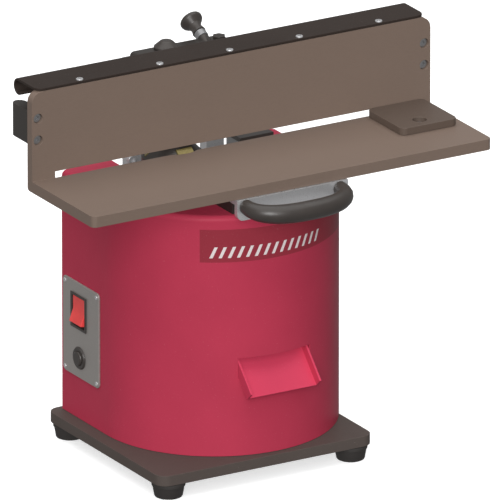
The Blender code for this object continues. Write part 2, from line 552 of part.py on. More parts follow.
def build_stop(guide, plate):
    stop = block(
        "stop_plate", "guide_brown", STOP_X, STOP_Y, (GAP, GAP + STOP_THICK), guide,
        rounds=[(STOP_CORNER, "Z", {})],
    )
    at = (STOP_SCREW_X, STOP_SCREW_Y, 0)
    top, reach = STOP_THICK - PAST, -TABLE_THICK * 0.7
    hole = rod("cut_stop", None, at, STOP_SCREW_R + GAP, -PAST, STOP_THICK + 2 * PAST, parent=guide, steps=24)
    cut(stop, hole)
    cut(plate, rod("cut_tap", None, at, STOP_SHANK_R + GAP, reach - GAP, PAST, parent=guide, steps=12))
    profile = [
        (0, top), (STOP_SCREW_R, top), (STOP_SCREW_R, GAP), (STOP_SHANK_R, GAP),
        (STOP_SHANK_R, reach), (0, reach),
    ]
    turned("stop_screw", "bright_steel", at, profile, parent=guide)


def build_handle(guide):
    front = -TABLE_DEPTH - BRACKET_PROUD
    top = -TABLE_THICK - GAP
    bracket = block(
        "handle_bracket", "bright_steel", BRACKET_X, (front, front + BRACKET_SHEET),
        (top - BRACKET_DROP, top), guide, rounds=[(BRACKET_CORNER, "Y", {"z": -1})],
    )
    leg = (front + BRACKET_SHEET / 2, front + BRACKET_LEG)
    inset = (BRACKET_X[0] + GAP, BRACKET_X[1] - GAP)
    join(bracket, block("join_leg", None, inset, leg, (top - BRACKET_SHEET, top - GAP / 3), guide))
    curve = bpy.data.curves.new("handle_grip", "CURVE")
    curve.dimensions = "3D"
    curve.bevel_depth = GRIP_R
    curve.bevel_resolution = 6
    curve.use_fill_caps = True
    spline = curve.splines.new("POLY")
    bends = 20
    spline.points.add(bends + 2)
    for step, point in enumerate(spline.points):
        angle = math.pi * min(max(step - 1, 0), bends) / bends
        root = 0 if step in (0, bends + 2) else PAST
        around = math.sin(angle) ** (2 / GRIP_SQUARE)
        along = math.copysign(abs(math.cos(angle)) ** (2 / GRIP_SQUARE), math.cos(angle))
        point.co = (GRIP_SPAN * along, -root - GRIP_REACH * around, -GRIP_DROOP * around, 1)
        point.radius = GRIP_ROOT + (1 - GRIP_ROOT) * around
    add("handle_grip", curve, "black_plastic", (GRIP_X, front - GAP, -GRIP_DROP), guide)


def build_slide():
    y = (FENCE_Y + SLIDE_Y[0], FENCE_Y + SLIDE_Y[1])
    key_x = (sum(SLIDE_X) / 2 - KEY_WIDTH / 2, sum(SLIDE_X) / 2 + KEY_WIDTH / 2)
    deck = BODY_TOP + SLIDE_HEIGHT
    base = block("slide_base", "slide_steel", SLIDE_X, y, (BODY_TOP + GAP, deck))
    join(base, block("join_key", None, key_x, (y[0] + GAP, y[1] - GAP), (deck - PAST, deck + KEY_HEIGHT)))
    saddle = block("saddle", "slide_steel", SLIDE_X, y, (deck + GAP, deck + SADDLE_HEIGHT - GAP))
    groove_x = (key_x[0] - GAP, key_x[1] + GAP)
    groove_z = (deck - PAST, deck + KEY_HEIGHT + GAP)
    cut(saddle, block("cut_groove", None, groove_x, (y[0] - PAST, y[1] + PAST), groove_z))


def build_spindle():
    cutter_at = Vector((GUIDE_X + CUTTER_X, FENCE_Y + CUTTER_BEHIND_FENCE, TABLE_Z))
    spin = axis_empty("spindle_axis", cutter_at, MACHINE)
    zero = (0, 0, 0)
    bore = STUD_R + GAP
    head = turned(
        "cutter_head", "slide_steel", zero,
        [
            (bore, HUB_TOP), (HUB_R, HUB_TOP), (HUB_R, CONE_TOP), (CONE_R - CONE_TOP, CONE_TOP),
            (CONE_R - CONE_FOOT, CONE_FOOT), (CONE_R - CONE_FOOT, HEAD_WAIST), (HEAD_NECK_R, HEAD_FOOT),
            (bore, HEAD_FOOT),
        ],
        parent=spin, ring=True, steps=36,
    )
    slant = math.pi / 4
    for number in range(INSERT_COUNT):
        around = INSERT_PHASE + TURN * number / INSERT_COUNT
        axis = axis_empty(f"insert_axis_{number + 1}", zero, spin, (0, 0, around))
        seat = axis_empty(f"insert_seat_{number + 1}", (0, -INSERT_FACE_R, INSERT_Z), axis, (slant, 0, 0))
        wide, long = INSERT_WIDTH / 2, INSERT_LENGTH / 2
        block(
            f"cutter_insert_{number + 1}", "insert_gold", (-wide, wide), (-long, long),
            (-INSERT_THICK, 0), seat,
        )
        pocket = block(
            f"cut_insert_{number + 1}", None, (-wide - GAP, wide + GAP), (-long - GAP, long + GAP),
            (-INSERT_THICK - GAP, INSERT_THICK), seat,
        )
        cut(head, pocket)
    hexagon_bore = bore / math.cos(math.pi / 6)
    nut_z = (HUB_TOP + GAP, NUT_TOP)
    tube("cutter_nut", "bright_steel", zero, NUT_R, hexagon_bore, *nut_z, parent=spin, steps=6)
    shaft_low = NOSE_TOP - SHAFT_LENGTH
    turned(
        "spindle_shaft", "bright_steel", zero,
        [
            (0, STUD_TOP), (STUD_R, STUD_TOP), (STUD_R, NOSE_TOP), (NOSE_R, NOSE_TOP), (NOSE_R, NOSE_FOOT),
            (SHAFT_R, NOSE_FOOT), (SHAFT_R, shaft_low), (0, shaft_low),
        ],
        parent=spin,
    )
    build_motor(cutter_at, spin)


def build_motor(axis_at, spin):
    x, y, table = axis_at
    plate_top = BODY_TOP - MOTOR_PLATE_BELOW_RIM
    plate_low = plate_top - MOTOR_PLATE_THICK
    plate = block(
        "motor_plate", "slide_steel", MOTOR_PLATE_X,
        (FENCE_Y + MOTOR_PLATE_FRONT, COLUMN_FRONT - MOTOR_PLATE_BACK),
        (plate_low, plate_top),
    )
    at = (x, y, 0)
    cut(plate, rod("cut_nose", None, at, NOSE_R + 2 * SHAFT_CLEARANCE, plate_low - PAST, plate_top + PAST))
    top = plate_low - GAP
    foot = top - MOTOR_HEIGHT
    hole = SHAFT_R + SHAFT_CLEARANCE
    seat = BEARING_R + GAP
    hub = seat + BEARING_WALL
    inner = MOTOR_R - MOTOR_WALL
    upper = top - MOTOR_LID
    turned(
        "motor_housing", "motor_grey", at,
        [
            (hole, top), (MOTOR_R, top), (MOTOR_R, foot), (inner, foot), (inner, upper), (hub, upper),
            (hub, upper - BEARING_HEIGHT), (seat, upper - BEARING_HEIGHT), (seat, upper + GAP),
            (hole, upper + GAP),
        ],
        ring=True, steps=40,
    )
    floor = foot - GAP
    low = floor - MOTOR_LID
    turned(
        "motor_lower_cover", "motor_grey", at,
        [
            (hub, floor + BEARING_WALL), (hub, floor - MOTOR_WALL), (inner, floor - MOTOR_WALL),
            (inner, floor), (MOTOR_R, floor), (MOTOR_R, low), (hole, low), (hole, floor - MOTOR_WALL),
            (seat, floor - MOTOR_WALL),
            (seat, floor + BEARING_WALL),
        ],
        ring=True, steps=40,
    )
    bore = SHAFT_R + GAP
    tube("bearing_upper", "bright_steel", at, BEARING_R, bore, upper - BEARING_HEIGHT, upper)
    seat_z = (floor - MOTOR_WALL + GAP, floor + BEARING_WALL - GAP)
    tube("bearing_lower", "bright_steel", at, BEARING_R, bore, *seat_z)
    core = (foot + upper) / 2
    stator = (core - STATOR_HEIGHT / 2, core + STATOR_HEIGHT / 2)
    tube("stator_core", "core_steel", at, inner - GAP, STATOR_BORE_R, *stator)
    drop = -table
    tube(
        "rotor", "core_steel", (0, 0, drop), ROTOR_R, bore, core - ROTOR_HEIGHT / 2, core + ROTOR_HEIGHT / 2,
        parent=spin,
    )
    fan_top = low - 2 * PAST
    fan_at = (0, 0, drop + fan_top)
    fan = tube("cooling_fan", "black_plastic", fan_at, FAN_HUB_R, bore, -FAN_HEIGHT, 0, parent=spin)
    join(fan, tube("join_fan_disc", None, fan_at, FAN_R, bore + PAST, -FAN_DISC, -GAP, parent=spin))
    for number in range(FAN_BLADES):
        turn = axis_empty(f"fan_blade_axis_{number + 1}", fan_at, spin, (0, 0, TURN * number / FAN_BLADES))
        blade = block(
            f"join_blade_{number + 1}", None, (FAN_HUB_R - PAST, FAN_R - PAST), (-PAST, PAST),
            (-0.9 * FAN_HEIGHT, -FAN_DISC / 2), turn,
        )
        join(fan, blade)
    box_low = plate_top + GAP
    block("terminal_box", "motor_grey", BOX_X, BOX_Y, (box_low, box_low + BOX_HEIGHT))
    lid = (BOX_X[0] - PAST, BOX_X[1] + PAST), (BOX_Y[0] - PAST, BOX_Y[1] + PAST)
    block("terminal_lid", "black_plastic", *lid, (box_low + BOX_HEIGHT + GAP, box_low + BOX_HEIGHT + BOX_LID))


clear_scene()
PARTS = collection("edge_chamfering_machine")
CUTTERS = collection("cutters")
MACHINE = axis_empty("machine", (-GUIDE_X, -(GRIP_FRONT + KNOB_END) / 2, GROUND))
build_base()
shell = build_body()
build_chute(shell)
build_switch(shell)
build_columns()
build_slide()
build_guide()
build_spindle()
for old in list(bpy.data.collections):
    if not old.objects and not old.children:
        bpy.data.collections.remove(old)
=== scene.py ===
"""Looks of a benchtop edge-chamfering machine: enamel, castings, fittings and a pale studio."""

import json
import math

import bpy
from mathutils import Matrix, Vector


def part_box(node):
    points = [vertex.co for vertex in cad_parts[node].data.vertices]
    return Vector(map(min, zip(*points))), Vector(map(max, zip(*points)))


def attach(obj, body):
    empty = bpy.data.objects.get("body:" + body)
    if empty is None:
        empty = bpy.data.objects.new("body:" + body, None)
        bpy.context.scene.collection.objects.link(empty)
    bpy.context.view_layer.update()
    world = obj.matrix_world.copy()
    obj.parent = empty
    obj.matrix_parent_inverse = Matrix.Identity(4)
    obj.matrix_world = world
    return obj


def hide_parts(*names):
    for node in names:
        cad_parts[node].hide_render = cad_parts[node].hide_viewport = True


bl_info = {
    "name": "Edge Chamfering Machine",
    "version": (1, 0, 0),
    "blender": (4, 5, 0),
    "location": "View3D > Sidebar > Machine",
    "description": "Builds the visible pieces and finishes of a benchtop edge-chamfering machine",
    "category": "Object",
}

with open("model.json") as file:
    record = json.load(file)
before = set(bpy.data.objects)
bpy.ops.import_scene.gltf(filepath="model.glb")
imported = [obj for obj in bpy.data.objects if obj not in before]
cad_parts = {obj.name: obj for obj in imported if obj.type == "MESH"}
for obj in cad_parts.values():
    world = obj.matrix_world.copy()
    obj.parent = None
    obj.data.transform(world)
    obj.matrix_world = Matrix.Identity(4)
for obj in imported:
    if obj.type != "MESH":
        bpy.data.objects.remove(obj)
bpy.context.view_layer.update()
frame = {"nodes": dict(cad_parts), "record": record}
MM = 0.001
TURN = 2 * math.pi
AMBIENT, GLEAM = 0.07, 0.38  # the world in soft shadows, and in reflections
FLOOR_GLOW = 0.45  # keeps the ground pale inside the shadow
SMOOTH_BELOW = math.radians(32)  # edges flatter than this are shaded smooth


class MachineSizes(bpy.types.PropertyGroup):
    """Edge roundings and small fittings."""

    casting_round: bpy.props.FloatProperty(
        name="Casting rounding", description="Radius on the edges of the guide and the base plate",
        default=0.9 * MM, unit="LENGTH",
    )
    sheet_round: bpy.props.FloatProperty(
        name="Sheet rounding", description="Radius on the edges of bent sheet",
        default=0.45 * MM, unit="LENGTH",
    )
    plastic_round: bpy.props.FloatProperty(
        name="Plastic rounding", description="Radius on the edges of moulded pieces",
        default=0.6 * MM, unit="LENGTH",
    )
    steel_round: bpy.props.FloatProperty(
        name="Steel rounding", description="Radius on the edges of machined steel",
        default=0.5 * MM, unit="LENGTH",
    )
    guard_screw_radius: bpy.props.FloatProperty(
        name="Guard screw radius", description="Head radius of the screws along the top guard",
        default=3.2 * MM, unit="LENGTH",
    )
    plate_screw_radius: bpy.props.FloatProperty(
        name="Plate screw radius", description="Head radius of the screws on the switch plate",
        default=2 * MM, unit="LENGTH",
    )
    band_low: bpy.props.FloatProperty(
        name="Band bottom", description="Height of the lower edge of the darker band on the body",
        default=202.5 * MM, unit="LENGTH",
    )
    band_high: bpy.props.FloatProperty(
        name="Band top", description="Height of the upper edge of the darker band on the body",
        default=232.5 * MM, unit="LENGTH",
    )


class MachineColours(bpy.types.PropertyGroup):
    """Base colours of the finishes."""

    enamel: bpy.props.FloatVectorProperty(
        name="Body enamel", description="Crimson enamel of the body", subtype="COLOR", size=3,
        min=0, max=1, default=(0.49, 0.045, 0.087),
    )
    # Painted light: the chute is sprayed with the body's enamel; this brighter copy of it stands in for the
    # light on the chute floor, which slopes up toward the lamps.
    chute: bpy.props.FloatVectorProperty(
        name="Chute enamel", description="Brighter enamel inside the chip chute", subtype="COLOR", size=3,
        min=0, max=1, default=(0.62, 0.055, 0.112),
    )
    band: bpy.props.FloatVectorProperty(
        name="Band", description="Darker band near the top of the body", subtype="COLOR", size=3,
        min=0, max=1, default=(0.31, 0.036, 0.055),
    )
    casting: bpy.props.FloatVectorProperty(
        name="Guide casting", description="Warm grey-brown of the guide", subtype="COLOR", size=3,
        min=0, max=1, default=(0.190, 0.139, 0.111),
    )
    base: bpy.props.FloatVectorProperty(
        name="Base enamel", description="Dark warm grey of the base plate", subtype="COLOR", size=3,
        min=0, max=1, default=(0.100, 0.081, 0.073),
    )
    guard: bpy.props.FloatVectorProperty(
        name="Guard", description="Black-brown of the top guard", subtype="COLOR", size=3,
        min=0, max=1, default=(0.036, 0.027, 0.023),
    )
    plastic: bpy.props.FloatVectorProperty(
        name="Plastic", description="Black of the grip and the knobs", subtype="COLOR", size=3,
        min=0, max=1, default=(0.045, 0.038, 0.034),
    )
    rubber: bpy.props.FloatVectorProperty(
        name="Rubber", description="Black of the feet", subtype="COLOR", size=3,
        min=0, max=1, default=(0.032, 0.028, 0.026),
    )
    steel: bpy.props.FloatVectorProperty(
        name="Steel", description="Bright machined steel", subtype="COLOR", size=3,
        min=0, max=1, default=(0.60, 0.60, 0.61),
    )
    dark_steel: bpy.props.FloatVectorProperty(
        name="Dark steel", description="Blackened steel of the slide and cutter", subtype="COLOR", size=3,
        min=0, max=1, default=(0.055, 0.048, 0.043),
    )
    plate: bpy.props.FloatVectorProperty(
        name="Switch plate", description="Satin plate behind the switch", subtype="COLOR", size=3,
        min=0, max=1, default=(0.40, 0.375, 0.355),
    )
    rocker: bpy.props.FloatVectorProperty(
        name="Rocker", description="Red of the rocker", subtype="COLOR", size=3,
        min=0, max=1, default=(0.86, 0.072, 0.07),
    )
    motor: bpy.props.FloatVectorProperty(
        name="Motor grey", description="Grey enamel of the motor and the bridge", subtype="COLOR", size=3,
        min=0, max=1, default=(0.25, 0.25, 0.25),
    )
    gold: bpy.props.FloatVectorProperty(
        name="Insert gold", description="Coating of the cutter's inserts", subtype="COLOR", size=3,
        min=0, max=1, default=(0.24, 0.19, 0.07),
    )
    floor: bpy.props.FloatVectorProperty(
        name="Floor", description="Studio floor", subtype="COLOR", size=3,
        min=0, max=1, default=(0.93, 0.93, 0.93),
    )


class Wire:
    """A socket of a finish, so that maths on it reads as a sum."""

    def __init__(self, finish, socket):
        self.finish, self.socket = finish, socket

    def _math(self, operation, *values):
        return self.finish.add("ShaderNodeMath", {"operation": operation}, dict(enumerate(values)))

    def __add__(self, other):
        return self._math("ADD", self, other)

    def __sub__(self, other):
        return self._math("SUBTRACT", self, other)

    def __mul__(self, other):
        return self._math("MULTIPLY", self, other)

    def __gt__(self, other):
        return self._math("GREATER_THAN", self, other)

    def __lt__(self, other):
        return self._math("LESS_THAN", self, other)


class Finish:
    """One procedural material, built round its Principled shader."""

    def __init__(self, name, roughness, metallic=0.0, shine=0.5):
        self.material = bpy.data.materials.new(name)
        self.material.use_nodes = True
        self.tree = self.material.node_tree
        self.shader = self.tree.nodes["Principled BSDF"]
        self.shader.inputs["Roughness"].default_value = roughness
        self.shader.inputs["Metallic"].default_value = metallic
        self.shader.inputs["Specular IOR Level"].default_value = shine
        self.place = self.add("ShaderNodeTexCoord", output="Object")

    def add(self, kind, settings=None, values=None, output=0):
        """A node with its settings made first, and then the values or links of its sockets."""
        node = self.tree.nodes.new(kind)
        for name, setting in (settings or {}).items():
            setattr(node, name, setting)
        for key, value in (values or {}).items():
            socket = node.inputs[key]
            if isinstance(value, Wire):
                self.tree.links.new(value.socket, socket)
            else:
                socket.default_value = value
        return Wire(self, node.outputs[output])

    def feed(self, name, wire):
        self.tree.links.new(wire.socket, self.shader.inputs[name])

    def axes(self):
        split = self.add("ShaderNodeSeparateXYZ", values={0: self.place})
        return split, Wire(self, split.socket.node.outputs[1]), Wire(self, split.socket.node.outputs[2])

    def noise(self, scale, detail=3.0, stretch=(1, 1, 1)):
        """Noise between 0 and 1; scale counts its cells in a metre."""
        place = self.add("ShaderNodeMapping", values={"Vector": self.place, "Scale": stretch})
        return self.add("ShaderNodeTexNoise", values={"Vector": place, "Scale": scale, "Detail": detail})

    def ramp(self, wire, low, high):
        settings = {"clamp": True}
        values = {0: wire, 1: low, 2: high, 3: 0.0, 4: 1.0}
        return self.add("ShaderNodeMapRange", settings, values)

    def mix(self, factor, first, second):
        """Colours, mixed from first to second."""
        node = self.tree.nodes.new("ShaderNodeMix")
        node.data_type = "RGBA"
        for key, value in ((0, factor), (6, first), (7, second)):
            if isinstance(value, Wire):
                self.tree.links.new(value.socket, node.inputs[key])
            else:
                node.inputs[key].default_value = value if key == 0 else (*value[:3], 1)
        return Wire(self, node.outputs[2])

    def bump(self, height, depth):
        bump = self.add("ShaderNodeBump", values={"Height": height, "Distance": depth, "Strength": 1.0})
        self.feed("Normal", bump)

    def mottled(self, colour, scale, amount, stretch=(1, 1, 1)):
        """The colour, drifting a little lighter and darker."""
        dark = [c * (1 - amount) for c in colour]
        light = [min(1.0, c * (1 + amount)) for c in colour]
        return self.mix(self.ramp(self.noise(scale, 4.0, stretch), 0.3, 0.7), dark, light)


def enamel_finish(name, colour, roughness, band=None):
    """Sprayed enamel: a faint orange peel, soft cloudiness and a low gloss."""
    finish = Finish(name, roughness, shine=0.08)
    shade = finish.mottled(colour, 14, 0.05)
    if band:
        shade = band(finish, shade)
    specks = finish.ramp(finish.noise(900, 2.0), 0.70, 0.78)
    shade = finish.mix(specks * 0.10, shade, (0.9, 0.8, 0.8))
    finish.feed("Base Color", shade)
    finish.feed("Roughness", finish.noise(40) * 0.14 + (roughness - 0.07))
    finish.bump(finish.noise(420, 2.0), 0.00008)
    return finish.material


def casting_finish(name, colour, roughness, along=(1, 14, 14)):
    """Ground casting: long fine grinding lines over slow cloudy tone, with scattered pores."""
    finish = Finish(name, roughness, shine=0.3)
    shade = finish.mottled(colour, 30, 0.012)
    lines = finish.noise(260, 3.0, along)
    shade = finish.mix(finish.ramp(lines, 0.35, 0.75) * 0.16, shade, [min(1, c * 1.5) for c in colour])
    pores = finish.ramp(finish.noise(1500, 1.0), 0.72, 0.80)
    shade = finish.mix(pores * 0.35, shade, [c * 0.4 for c in colour])
    finish.feed("Base Color", shade)
    finish.feed("Roughness", lines * 0.22 + (roughness - 0.11))
    finish.bump(lines * 0.7 - pores * 0.6, 0.00005)
    return finish.material


def steel_finish(name, colour, roughness, along=(1, 1, 20)):
    """Machined steel: close brushing marks and a slow drift in its shine."""
    finish = Finish(name, roughness, metallic=0.55)
    marks = finish.noise(520, 2.0, along)
    shade = finish.mix(finish.ramp(marks, 0.3, 0.7), [c * 0.86 for c in colour], colour)
    finish.feed("Base Color", shade)
    finish.feed("Roughness", marks * 0.2 + (roughness - 0.1))
    finish.bump(marks, 0.00002)
    return finish.material


def moulded_finish(name, colour, roughness, grain=1400, depth=0.00006):
    """Moulded plastic or rubber: a fine even grain and slightly worn sheen."""
    finish = Finish(name, roughness, shine=0.4)
    grains = finish.noise(grain, 2.0)
    finish.feed("Base Color", finish.mottled(colour, 60, 0.10))
    finish.feed("Roughness", finish.noise(55) * 0.16 + (roughness - 0.08))
    finish.bump(grains, depth)
    return finish.material


def body_band(finish, shade):
    """The darker band round the front of the body, with pale slanting dashes along it and no wording."""
    sizes, colours = bpy.context.scene.machine_sizes, bpy.context.scene.machine_colours
    low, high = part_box("body_shell")
    radius = (high.x - low.x) / 2
    middle_x, middle_y = (low.x + high.x) / 2, low.y + radius
    x, y, z = finish.axes()
    angle = finish.add("ShaderNodeMath", {"operation": "ARCTAN2"}, {0: y - middle_y, 1: x - middle_x})
    in_height = (z > sizes.band_low) * (z < sizes.band_high)
    in_turn = (angle > math.radians(-127)) * (angle < math.radians(-33))
    shade = finish.mix(in_height * in_turn, shade, colours.band)
    lean, pitch, foot = 0.45, 8 * MM, sizes.band_low + 4 * MM
    along = (angle * radius - (z - foot) * lean) * (1 / pitch)
    dashes = finish.add("ShaderNodeMath", {"operation": "FRACT"}, {0: along}) < 0.36
    dashes = dashes * (z > foot) * (z < foot + 10 * MM) * (along > -29) * (along < -15.5)
    return finish.mix(dashes * 0.9, shade, (0.86, 0.80, 0.80))


FINISHES = {}


def finish_named(name):
    """Each finish, made once."""
    if name in FINISHES:
        return FINISHES[name]
    c = bpy.context.scene.machine_colours
    makers = {
        "body_red": lambda: enamel_finish("body_enamel", c.enamel, 0.42, body_band),
        # Painted light: the chute takes a brighter copy of the body enamel, for the light falling on its
        # sloping floor.
        "chute_lit_red": lambda: enamel_finish("chute_enamel_lit", c.chute, 0.38),
        "base_grey": lambda: enamel_finish("base_enamel", c.base, 0.5),
        "guard_black": lambda: enamel_finish("guard_enamel", c.guard, 0.5),
        "motor_grey": lambda: enamel_finish("motor_enamel", c.motor, 0.45),
        "guide_brown": lambda: casting_finish("guide_casting", c.casting, 0.48),
        "stop_brown": lambda: casting_finish("stop_casting", [0.55 * v for v in c.casting], 0.5, (14, 1, 14)),
        "slide_steel": lambda: steel_finish("dark_slide_steel", c.dark_steel, 0.42),
        "screw_steel": lambda: steel_finish("screw_steel", [0.45 * v for v in c.steel], 0.35),
        "bright_steel": lambda: steel_finish("bright_machined_steel", c.steel, 0.3),
        "switch_alu": lambda: steel_finish("switch_plate_satin", c.plate, 0.5, (1, 20, 1)),
        "black_plastic": lambda: moulded_finish("black_moulding", c.plastic, 0.36),
        "red_plastic": lambda: moulded_finish("red_moulding", c.rocker, 0.22, 700, 0.00001),
        "foot_rubber": lambda: moulded_finish("foot_rubber", c.rubber, 0.7, 900, 0.0001),
        "insert_gold": lambda: steel_finish("insert_coating", c.gold, 0.32),
        "core_steel": lambda: steel_finish("laminated_core", [0.2, 0.18, 0.16], 0.5, (1, 1, 60)),
    }
    FINISHES[name] = makers[name]()
    return FINISHES[name]


def dress(obj, slot, finish=None):
    obj.data.materials.clear()
    obj.data.materials.append(finish_named(finish or slot))


def only(obj):
    """This object alone is selected and active."""
    bpy.ops.object.select_all(action="DESELECT")
    obj.hide_set(False)
    obj.select_set(True)
    bpy.context.view_layer.objects.active = obj


def body_of_node(node):
    for body, members in frame["record"]["behaviour"]["bodies"].items():
        if node in members:
            return body
    raise ValueError(f"no body holds {node}")


def settle(obj, body, slot, finish=None, replaces=()):
    """The finished piece: its place goes into its mesh, and it takes its body and its finish, the slot's own
    where none is given.
    """
    only(obj)
    bpy.ops.object.transform_apply(location=True, rotation=True, scale=True)
    dress(obj, slot, finish)
    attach(obj, body)
    if replaces:
        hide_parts(*replaces)
    return obj


def apply_modifiers(obj):
    only(obj)
    for modifier in list(obj.modifiers):
        bpy.ops.object.modifier_apply(modifier=modifier.name)


def round_over(obj, radius, segments=3, angle=28):
    """Rounds the sharp edges, shades the rest smooth and keeps broad faces looking flat."""
    bevel = obj.modifiers.new("Round", "BEVEL")
    bevel.width = radius
    bevel.segments = segments
    bevel.limit_method = "ANGLE"
    bevel.angle_limit = math.radians(angle)
    apply_modifiers(obj)
    bpy.ops.object.shade_smooth_by_angle(angle=SMOOTH_BELOW)
    weighted = obj.modifiers.new("Level faces", "WEIGHTED_NORMAL")
    weighted.keep_sharp = True
    apply_modifiers(obj)


def refined(node, radius, slot, finish=None, segments=3, angle=28):
    """A CAD node's shape with its flat faces made whole and its edges rounded, kept inside its box."""
    source = frame["nodes"][node]
    piece = bpy.data.objects.new(f"{node}_shown", source.data.copy())
    bpy.context.scene.collection.objects.link(piece)
    only(piece)
    bpy.ops.object.mode_set(mode="EDIT")
    bpy.ops.mesh.select_all(action="SELECT")
    bpy.ops.mesh.remove_doubles(threshold=0.00001)
    bpy.ops.mesh.dissolve_limited(angle_limit=math.radians(0.8))
    bpy.ops.object.mode_set(mode="OBJECT")
    round_over(piece, radius, segments, angle)
    for axis in range(3):
        low, high = (end(v.co[axis] for v in source.data.vertices) for end in (min, max))
        for vertex in piece.data.vertices:
            vertex.co[axis] = min(max(vertex.co[axis], low), high)
    return settle(piece, body_of_node(node), slot, finish, [node])


def pick_faces(obj, wanted):
    """Edit mode with just the faces selected for which wanted(polygon) is true."""
    only(obj)
    for part in (obj.data.vertices, obj.data.edges, obj.data.polygons):
        for item in part:
            item.select = False
    for face in obj.data.polygons:
        face.select = bool(wanted(face))
    bpy.ops.object.mode_set(mode="EDIT")
    bpy.ops.mesh.select_mode(type="FACE")


def turned_piece(name, profile, at, toward, steps=48):
    """A piece spun from (radius, height) pairs about an axis through at that points toward."""
    mesh = bpy.data.meshes.new(name)
    mesh.from_pydata([(r, 0, h) for r, h in profile], [(i, i + 1) for i in range(len(profile) - 1)], [])
    obj = bpy.data.objects.new(name, mesh)
    bpy.context.scene.collection.objects.link(obj)
    only(obj)
    bpy.ops.object.mode_set(mode="EDIT")
    bpy.ops.mesh.select_all(action="SELECT")
    bpy.ops.mesh.spin(steps=steps, angle=TURN, center=(0, 0, 0), axis=(0, 0, 1), use_auto_merge=True)
    bpy.ops.mesh.select_all(action="SELECT")
    bpy.ops.mesh.remove_doubles(threshold=0.000002)
    bpy.ops.mesh.normals_make_consistent(inside=False)
    bpy.ops.object.mode_set(mode="OBJECT")
    bpy.ops.object.shade_smooth_by_angle(angle=SMOOTH_BELOW)
    obj.matrix_world = Matrix.Translation(at) @ Vector(toward).to_track_quat("Z", "Y").to_matrix().to_4x4()
    return obj


def socket_screw(name, at, toward, radius, height, body, finish=None, replaces=()):
    """A cap screw with a rounded rim and a hexagonal socket, its seat at the given point."""
    bpy.ops.object.select_all(action="DESELECT")
    bpy.ops.mesh.primitive_cylinder_add(vertices=36, radius=radius, depth=height, location=(0, 0, height / 2))
    obj = bpy.context.object
    obj.name = name
    pick_faces(obj, lambda face: face.normal.z > 0.9)
    bpy.ops.mesh.bevel(offset=0.14 * radius, segments=3, affect="EDGES")
    bpy.ops.object.mode_set(mode="OBJECT")
    bpy.ops.mesh.primitive_cylinder_add(
        vertices=6, radius=0.52 * radius, depth=height, location=(0, 0, height)
    )
    key = bpy.context.object
    only(obj)
    socket = obj.modifiers.new("Socket", "BOOLEAN")
    socket.operation = "DIFFERENCE"
    socket.object = key
    bpy.ops.object.modifier_apply(modifier=socket.name)
    bpy.data.objects.remove(key)
    bpy.ops.object.shade_smooth_by_angle(angle=SMOOTH_BELOW)
    obj.matrix_world = Matrix.Translation(at) @ Vector(toward).to_track_quat("Z", "Y").to_matrix().to_4x4()
    return settle(obj, body, "bright_steel", finish, replaces)


class MACHINE_OT_base(bpy.types.Operator):
    """Base plate with its rubber feet and their bolts"""

    bl_idname = "machine.base"
    bl_label = "Base and feet"

    def execute(self, context):
        sizes = context.scene.machine_sizes
        refined("base_plate", sizes.casting_round, "base_grey", angle=40)
        for end in ("front", "rear"):
            for side in ("left", "right"):
                place = f"{end}_{side}"
                low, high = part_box(f"foot_{place}")
                middle = Vector(((low.x + high.x) / 2, (low.y + high.y) / 2, low.z))
                top, radius = high.z - low.z, (high.x - low.x) / 2
                sole, recess = 0.817 * radius, 7 * MM
                profile = [
                    (3 * MM, top), (radius - 0.8 * MM, top), (radius - 0.2 * MM, top - 0.3 * MM),
                    (radius, top - 1 * MM), (radius - 0.25 * MM, top - 3.4 * MM),
                    (radius - 0.9 * MM, top - 3.9 * MM),
                    (sole + 0.25 * MM, 1.2 * MM), (sole - 0.2 * MM, 0.4 * MM), (sole - 1 * MM, 0),
                    (recess + 0.5 * MM, 0), (recess, 0.5 * MM), (recess, 6.5 * MM),
                    (3 * MM, 6.5 * MM), (3 * MM, top),
                ]
                foot = turned_piece(f"rubber_foot_{place}", profile, middle, (0, 0, 1))
                settle(foot, "machine", "foot_rubber", replaces=[f"foot_{place}"])
                dress(frame["nodes"][f"foot_bolt_{place}"], "bright_steel")
        return {"FINISHED"}


class MACHINE_OT_body(bpy.types.Operator):
    """Sheet body, rear cover and cord gland"""

    bl_idname = "machine.body"
    bl_label = "Body"

    def execute(self, context):
        sizes = context.scene.machine_sizes
        refined("body_shell", sizes.sheet_round, "body_red", segments=2, angle=40)
        refined("rear_cover", sizes.sheet_round, "body_red", segments=2)
        low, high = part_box("rear_cover")
        for index, x in enumerate((low.x + 9 * MM, high.x - 9 * MM)):
            for row, z in enumerate((low.z + 10 * MM, (low.z + high.z) / 2, high.z - 10 * MM)):
                at = (x, high.y - 0.1 * MM, z)
                socket_screw(f"cover_screw_{index}{row}", at, (0, 1, 0), 3.4 * MM, 2.2 * MM, "machine")
        refined("cord_gland", sizes.plastic_round, "black_plastic")
        return {"FINISHED"}


class MACHINE_OT_chute(bpy.types.Operator):
    """Chip chute through the front of the body"""

    bl_idname = "machine.chute"
    bl_label = "Chip chute"

    def execute(self, context):
        # The chute's slot is the body enamel; its brighter finish is painted light on the sloping floor.
        refined("chip_chute", context.scene.machine_sizes.sheet_round, "body_red", "chute_lit_red")
        return {"FINISHED"}


